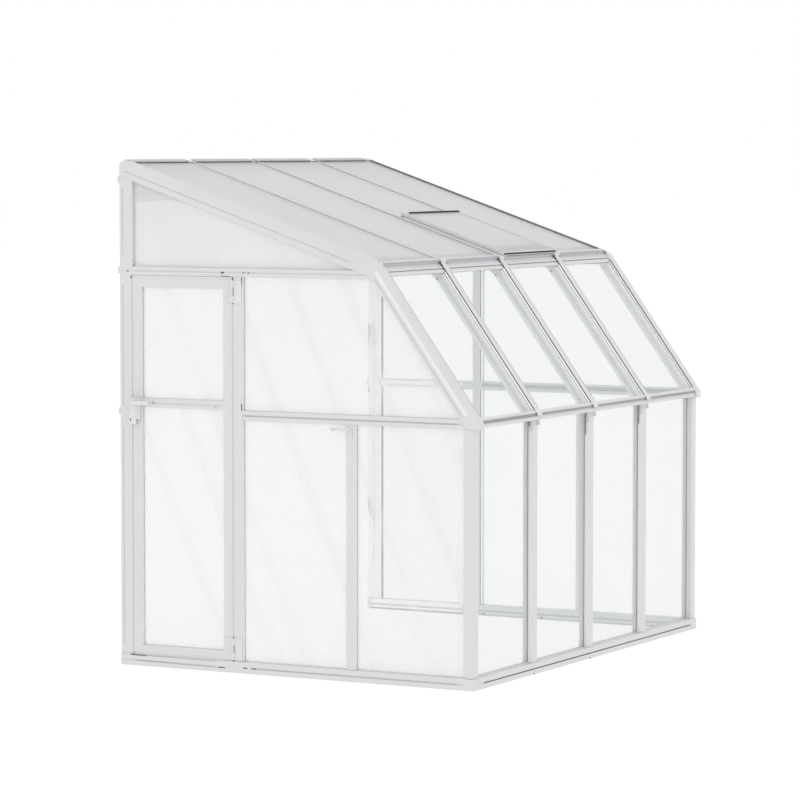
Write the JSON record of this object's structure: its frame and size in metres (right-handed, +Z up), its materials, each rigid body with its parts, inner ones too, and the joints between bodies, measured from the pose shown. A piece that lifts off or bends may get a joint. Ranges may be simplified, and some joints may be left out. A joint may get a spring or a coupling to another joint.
{
  "type": "lean to greenhouse",
  "caption": "Lean-to greenhouse with a single-pitch roof, sloping knee glazing, clear wall panels, a hinged glazed door in one gable and a hinged roof vent.",
  "frame": {"origin": "centre of the footprint's bounding box, on the floor", "axes": "+X along the house wall towards the far gable (the door is in the -X gable), +Y towards the house wall, +Z up"},
  "size_m": [2.6926, 2.022, 2.5269],
  "materials": {
    "white_frame": "satin white extruded plastic",
    "clear_panel": "clear acrylic sheet",
    "twin_wall": "translucent white twin-wall polycarbonate",
    "hardware": "light grey satin"
  },
  "bodies": {
    "frame": {"base_rail_near": "white_frame", "base_rail_far": "white_frame", "base_rail_front": "white_frame", "wall_post_near": "white_frame", "wall_post_far": "white_frame", "mid_post_near": "white_frame", "mid_post_far": "white_frame", "corner_post_near": "white_frame", "corner_post_far": "white_frame", "front_post_1": "white_frame", "front_post_2": "white_frame", "front_post_3": "white_frame", "head_rail_near": "white_frame", "head_rail_far": "white_frame", "mid_rail_near": "white_frame", "mid_rail_far": "white_frame", "stud_near": "white_frame", "stud_far": "white_frame", "knee_sill": "white_frame", "eave_beam": "white_frame", "wall_beam": "white_frame", "verge_near": "white_frame", "verge_far": "white_frame", "roof_rafter_1": "white_frame", "roof_rafter_2": "white_frame", "roof_rafter_3": "white_frame", "knee_rafter_1": "white_frame", "knee_rafter_2": "white_frame", "knee_rafter_3": "white_frame", "roof_panel_1": "twin_wall", "roof_panel_2": "twin_wall", "roof_panel_3": "twin_wall", "roof_panel_4": "twin_wall", "knee_panel_1": "clear_panel", "knee_panel_2": "clear_panel", "knee_panel_3": "clear_panel", "knee_panel_4": "clear_panel", "front_panel_1": "clear_panel", "front_panel_2": "clear_panel", "front_panel_3": "clear_panel", "front_panel_4": "clear_panel", "near_gable_panel": "twin_wall", "near_upper_panel": "clear_panel", "near_lower_panel_1": "clear_panel", "near_lower_panel_2": "clear_panel", "far_gable_panel": "twin_wall", "far_upper_panel": "clear_panel", "far_lower_panel_1": "clear_panel", "far_lower_panel_2": "clear_panel", "far_bay_panel": "clear_panel", "door_hinge_upper": "hardware", "door_hinge_lower": "hardware", "vent_curb": "white_frame"},
    "door": {"door_frame": "white_frame", "door_panel": "clear_panel"},
    "handle": {"door_handle": "hardware"},
    "bolt": {"lock_bolt": "hardware"},
    "vent": {"vent_sash": "white_frame", "vent_panel": "twin_wall"},
    "stay": {"vent_stay": "hardware"}
  },
  "joints": [
    {"name": "door_swing", "type": "hinge", "parent": "frame", "child": "door", "pos_m": [-1.29275, 0.344, 1], "axis": [0, 0, 1], "range_deg": [0, 170]},
    {"name": "handle_turn", "type": "hinge", "parent": "door", "child": "handle", "pos_m": [-1.26275, 0.897, 1.322], "axis": [1, 0, 0], "range_deg": [0, 40], "stiffness_Nm_per_rad": 1.2, "springref_deg": -17.19},
    {"name": "bolt_throw", "type": "slide", "parent": "door", "child": "bolt", "axis": [0, 1, 0], "range_m": [0, 0.018]},
    {"name": "vent_lift", "type": "hinge", "parent": "frame", "child": "vent", "pos_m": [0.35275, 0.1159, 2.24448], "axis": [-1, 0, 0], "range_deg": [0, 45]},
    {"name": "stay_swing", "type": "hinge", "parent": "vent", "child": "stay", "pos_m": [0.35275, -0.3531, 2.06425], "axis": [-1, 0, 0], "range_deg": [0, 90]}
  ]
}
